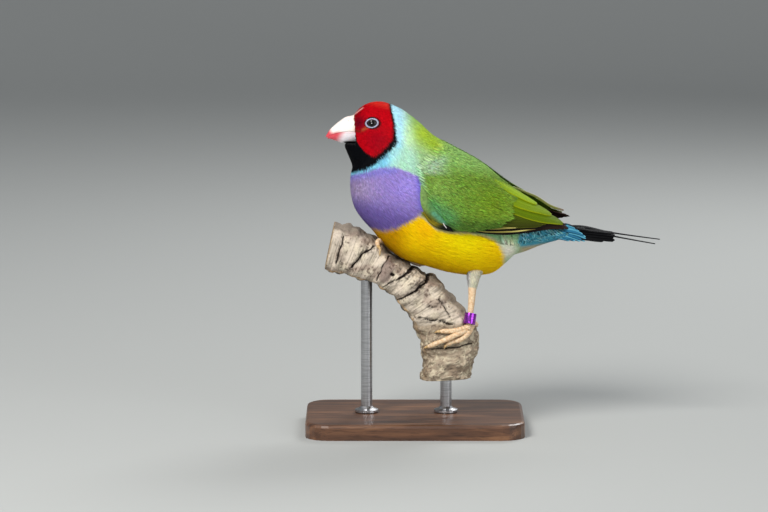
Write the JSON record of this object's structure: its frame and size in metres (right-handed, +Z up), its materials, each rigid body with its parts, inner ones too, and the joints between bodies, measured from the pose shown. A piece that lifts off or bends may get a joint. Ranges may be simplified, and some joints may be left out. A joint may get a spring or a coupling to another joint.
{
  "type": "gouldian finch",
  "caption": "Life-size still model of a perched Gouldian finch with folded wings and a bare leg ring, gripping a cut length of hollow log on a display stand.",
  "frame": {"origin": "centre of the display base's underside, where it stands on a table", "axes": "+Z up; the bird faces -X, its tail is toward +X and its left side toward -Y"},
  "size_m": [0.1362, 0.058, 0.1265],
  "materials": {
    "red_mask": "soft matte feathers",
    "collar_aqua": "soft matte feathers",
    "breast_violet": "soft matte feathers",
    "rump_blue": "soft matte feathers",
    "tail_black": "satin feathers",
    "wing_green": "soft matte feathers",
    "thigh_down": "downy feathers",
    "bill_horn": "satin horn",
    "eye_dark": "wet gloss",
    "leg_skin": "satin scaled skin",
    "ring_purple": "anodised satin",
    "weathered_wood": "weathered matte",
    "base_walnut": "oiled satin",
    "rod_steel": "brushed"
  },
  "bodies": {
    "root": {"head": "red_mask", "neck": "collar_aqua", "torso": "breast_violet", "rump": "rump_blue", "tail": "tail_black", "bill_upper": "bill_horn", "bill_lower": "bill_horn", "eye_left": "eye_dark", "eye_right": "eye_dark", "wing_left": "wing_green", "wing_right": "wing_green", "leg_left": "thigh_down", "leg_right": "thigh_down", "foot_left": "leg_skin", "foot_right": "leg_skin", "leg_ring": "ring_purple", "perch_log_rim": "weathered_wood", "stand_base": "base_walnut", "stand_rod_tall": "rod_steel", "stand_rod_short": "rod_steel"}
  },
  "joints": []
}
